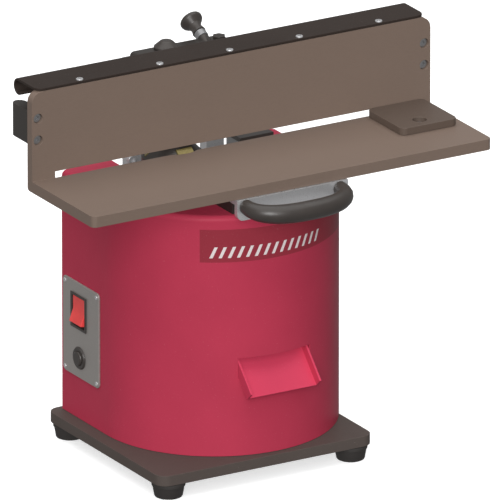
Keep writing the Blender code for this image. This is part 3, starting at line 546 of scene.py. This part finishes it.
class MACHINE_OT_switch(bpy.types.Operator):
    """Switch plate with its screws, rocker and reset cap"""

    bl_idname = "machine.switch"
    bl_label = "Switch"

    def execute(self, context):
        sizes = context.scene.machine_sizes
        refined("switch_plate", 0.4 * MM, "switch_alu", angle=40)
        low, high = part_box("switch_plate")
        inset = 3.9 * MM
        for index, y in enumerate((low.y + inset, high.y - inset)):
            for row, z in enumerate((low.z + inset, high.z - inset)):
                at = (low.x + 0.05 * MM, y, z)
                name = f"plate_screw_{index}{row}"
                socket_screw(name, at, (-1, 0, 0), sizes.plate_screw_radius, 1.6 * MM, "machine")
        refined("switch_bezel", sizes.plastic_round, "black_plastic")
        rocker = refined("switch_rocker", sizes.plastic_round, "red_plastic")
        rocker.name = "rocker_cap"
        refined("reset_collar", sizes.plastic_round, "black_plastic")
        refined("reset_button", sizes.plastic_round, "black_plastic")
        return {"FINISHED"}


class MACHINE_OT_slide(bpy.types.Operator):
    """Columns, bridge, slide, motor plate and terminal box"""

    bl_idname = "machine.slide"
    bl_label = "Columns and slide"

    def execute(self, context):
        sizes = context.scene.machine_sizes
        for node, slot in (
            ("column_left", "bright_steel"), ("column_right", "bright_steel"), ("bridge", "slide_steel"),
            ("slide_base", "slide_steel"), ("saddle", "slide_steel"), ("motor_plate", "slide_steel"),
            ("terminal_box", "motor_grey"), ("terminal_lid", "black_plastic"), ("bridge_bolt", "slide_steel"),
            ("tie_bar", "bright_steel"), ("end_block_left", "slide_steel"),
            ("end_block_right", "slide_steel"),
        ):
            refined(node, sizes.steel_round, slot, angle=40)
        low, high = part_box("column_screw")
        at = ((low.x + high.x) / 2, high.y, (low.z + high.z) / 2)
        socket_screw(
            "column_cap_screw", at, (0, -1, 0), (high.x - low.x) / 2, high.y - low.y, "machine",
            replaces=["column_screw"],
        )
        return {"FINISHED"}


class MACHINE_OT_guide(bpy.types.Operator):
    """L-shaped guide, its side screws and the stop plate"""

    bl_idname = "machine.guide"
    bl_label = "Guide"

    def execute(self, context):
        sizes = context.scene.machine_sizes
        refined("guide_plate", sizes.casting_round, "guide_brown", angle=50)
        for side in ("left", "right"):
            for level in ("lower", "upper"):
                node = f"fence_screw_{side}_{level}"
                low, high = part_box(node)
                at = ((low.x + high.x) / 2, low.y + 4.4 * MM, (low.z + high.z) / 2)
                socket_screw(
                    f"side_screw_{side}_{level}", at, (0, -1, 0), (high.x - low.x) / 2, 4.2 * MM, "guide",
                    finish="screw_steel", replaces=[node],
                )
        refined("stop_plate", sizes.casting_round, "guide_brown", "stop_brown", angle=40)
        low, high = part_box("stop_screw")
        at = ((low.x + high.x) / 2, (low.y + high.y) / 2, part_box("stop_plate")[0].z)
        socket_screw(
            "stop_cap_screw", at, (0, 0, 1), (high.x - low.x) / 2, high.z - at[2], "guide",
            finish="screw_steel", replaces=["stop_screw"],
        )
        return {"FINISHED"}


class MACHINE_OT_guard(bpy.types.Operator):
    """Rolled sheet guard along the top of the fence, with its row of screws"""

    bl_idname = "machine.guard"
    bl_label = "Top guard"

    def execute(self, context):
        sizes = context.scene.machine_sizes
        refined("top_guard", sizes.sheet_round, "guard_black", segments=2, angle=45)
        low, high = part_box("top_guard")
        fence_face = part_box("fence_screw_left_lower")[0].y
        middle = (low.x + high.x) / 2
        for number, offset in enumerate((-150, -70, 0, 70, 150)):
            at = (middle + offset * MM, fence_face + 4 * MM, high.z - 0.1 * MM)
            name = f"guard_screw_{number + 1}"
            socket_screw(name, at, (0, 0, 1), sizes.guard_screw_radius, 2.4 * MM, "guide")
        return {"FINISHED"}


class MACHINE_OT_handle(bpy.types.Operator):
    """Pull handle: steel bracket and moulded grip"""

    bl_idname = "machine.handle"
    bl_label = "Handle"

    def execute(self, context):
        sizes = context.scene.machine_sizes
        refined("handle_bracket", sizes.steel_round, "bright_steel", angle=40)
        refined("handle_grip", sizes.plastic_round, "black_plastic", angle=60)
        return {"FINISHED"}


class MACHINE_OT_cutter(bpy.types.Operator):
    """Cutter head, its inserts, nut and spindle"""

    bl_idname = "machine.cutter"
    bl_label = "Cutter"

    def execute(self, context):
        refined("cutter_head", 0.3 * MM, "slide_steel", angle=40)
        for number in (1, 2, 3):
            refined(f"cutter_insert_{number}", 0.15 * MM, "insert_gold")
        refined("cutter_nut", 0.4 * MM, "bright_steel", angle=40)
        for node, slot in (
            ("spindle_shaft", "bright_steel"), ("motor_housing", "motor_grey"),
            ("motor_lower_cover", "motor_grey"),
            ("stator_core", "core_steel"), ("rotor", "core_steel"), ("bearing_upper", "bright_steel"),
            ("bearing_lower", "bright_steel"), ("cooling_fan", "black_plastic"),
        ):
            dress(frame["nodes"][node], slot)
        return {"FINISHED"}


class MACHINE_OT_knobs(bpy.types.Operator):
    """Depth knob and lock knob on the bridge"""

    bl_idname = "machine.knobs"
    bl_label = "Knobs"

    def execute(self, context):
        sizes = context.scene.machine_sizes
        refined("depth_knob", sizes.plastic_round, "black_plastic", angle=20)
        refined("knob_collar", 0.3 * MM, "bright_steel", finish="screw_steel", angle=40)
        refined("lock_knob", sizes.plastic_round, "black_plastic", angle=20)
        dress(frame["nodes"]["adjuster_screw"], "bright_steel")
        return {"FINISHED"}


class MACHINE_OT_studio(bpy.types.Operator):
    """Pale floor, soft lights and the camera"""

    bl_idname = "machine.studio"
    bl_label = "Studio"

    def sun(self, name, azimuth, elevation, strength, softness, shadow=True):
        """A broad soft light from the azimuth, counted leftwards from the front, and the elevation."""
        bpy.ops.object.light_add(type="SUN", location=(0, 0, 1.5))
        lamp = bpy.context.object
        lamp.name = name
        lamp.rotation_euler = (-self.direction(azimuth, elevation)).to_track_quat("-Z", "Y").to_euler()
        lamp.data.energy = strength
        lamp.data.angle = math.radians(softness)
        lamp.data.use_shadow = shadow

    def direction(self, azimuth, elevation):
        a, e = math.radians(azimuth), math.radians(elevation)
        return Vector((-math.sin(a) * math.cos(e), -math.cos(a) * math.cos(e), math.sin(e)))

    def backdrop(self):
        """A world that lights the shadows a little and looks white."""
        world = bpy.data.worlds.new("studio")
        world.use_nodes = True
        nodes, links = world.node_tree.nodes, world.node_tree.links
        ambient = nodes["Background"]
        ambient.inputs["Color"].default_value = (1, 1, 1, 1)
        ambient.inputs["Strength"].default_value = AMBIENT
        white = nodes.new("ShaderNodeBackground")
        white.inputs["Color"].default_value = (1, 1, 1, 1)
        gleam = nodes.new("ShaderNodeBackground")
        gleam.inputs["Color"].default_value = (1, 1, 1, 1)
        gleam.inputs["Strength"].default_value = GLEAM
        rays = nodes.new("ShaderNodeLightPath")
        shown = ambient
        for seen_by, source in (("Is Glossy Ray", gleam), ("Is Camera Ray", white)):
            choice = nodes.new("ShaderNodeMixShader")
            links.new(rays.outputs[seen_by], choice.inputs[0])
            links.new(shown.outputs[0], choice.inputs[1])
            links.new(source.outputs[0], choice.inputs[2])
            shown = choice
        links.new(shown.outputs[0], nodes["World Output"].inputs["Surface"])
        return world

    def execute(self, context):
        scene = context.scene
        bpy.ops.object.select_all(action="DESELECT")
        bpy.ops.mesh.primitive_plane_add(size=40, location=(0, 0, -0.2 * MM))
        floor = bpy.context.object
        floor.name = "studio_floor"
        finish = Finish("studio_floor", 0.9, shine=0.0)
        finish.feed("Base Color", finish.mottled(scene.machine_colours.floor, 0.8, 0.01))
        finish.shader.inputs["Emission Color"].default_value = (1, 1, 1, 1)
        finish.shader.inputs["Emission Strength"].default_value = FLOOR_GLOW
        floor.data.materials.append(finish.material)
        floor.visible_diffuse = floor.visible_glossy = False

        scene.world = self.backdrop()
        self.sun("key", 34, 27, 1.0, 30)
        self.sun("fill", 34, 27, 1.8, 30, shadow=False)
        self.sun("sky", 0, 90, 2.0, 80)
        scene.view_settings.view_transform = "Standard"

        target = Vector((4.8, 2.1, 180.6)) * MM
        back = self.direction(30.4, 19.9)
        lens, sensor, width = 1600, 36, 433.8 * MM
        bpy.ops.object.camera_add(location=target + back * (width * lens / sensor))
        camera = bpy.context.object
        camera.rotation_euler = (-back).to_track_quat("-Z", "Y").to_euler()
        camera.data.lens = lens
        camera.data.sensor_width = sensor
        camera.data.clip_start, camera.data.clip_end = 0.1, 60
        scene.camera = camera
        return {"FINISHED"}


class MACHINE_PT_panel(bpy.types.Panel):
    """The machine's sizes, colours and build steps"""

    bl_idname = "MACHINE_PT_panel"
    bl_label = "Edge Chamfering Machine"
    bl_space_type = "VIEW_3D"
    bl_region_type = "UI"
    bl_category = "Machine"

    def draw(self, context):
        for group in (context.scene.machine_sizes, context.scene.machine_colours):
            box = self.layout.box()
            for name in group.bl_rna.properties.keys():
                if name not in ("rna_type", "name"):
                    box.prop(group, name)
        for operator in OPERATORS:
            self.layout.operator(operator.bl_idname)


GROUPS = (MachineSizes, MachineColours)
OPERATORS = (
    MACHINE_OT_base, MACHINE_OT_body, MACHINE_OT_chute, MACHINE_OT_switch, MACHINE_OT_slide, MACHINE_OT_guide,
    MACHINE_OT_guard, MACHINE_OT_handle, MACHINE_OT_cutter, MACHINE_OT_knobs, MACHINE_OT_studio,
)
CLASSES = (*GROUPS, *OPERATORS, MACHINE_PT_panel)


def register():
    for cls in CLASSES:
        bpy.utils.register_class(cls)
    bpy.types.Scene.machine_sizes = bpy.props.PointerProperty(type=MachineSizes)
    bpy.types.Scene.machine_colours = bpy.props.PointerProperty(type=MachineColours)


def unregister():
    del bpy.types.Scene.machine_colours
    del bpy.types.Scene.machine_sizes
    for cls in reversed(CLASSES):
        bpy.utils.unregister_class(cls)


def main():
    register()
    bpy.ops.machine.base()
    bpy.ops.machine.body()
    bpy.ops.machine.chute()
    bpy.ops.machine.switch()
    bpy.ops.machine.slide()
    bpy.ops.machine.guide()
    bpy.ops.machine.guard()
    bpy.ops.machine.handle()
    bpy.ops.machine.cutter()
    bpy.ops.machine.knobs()
    bpy.ops.machine.studio()


if __name__ == "__main__":
    main()
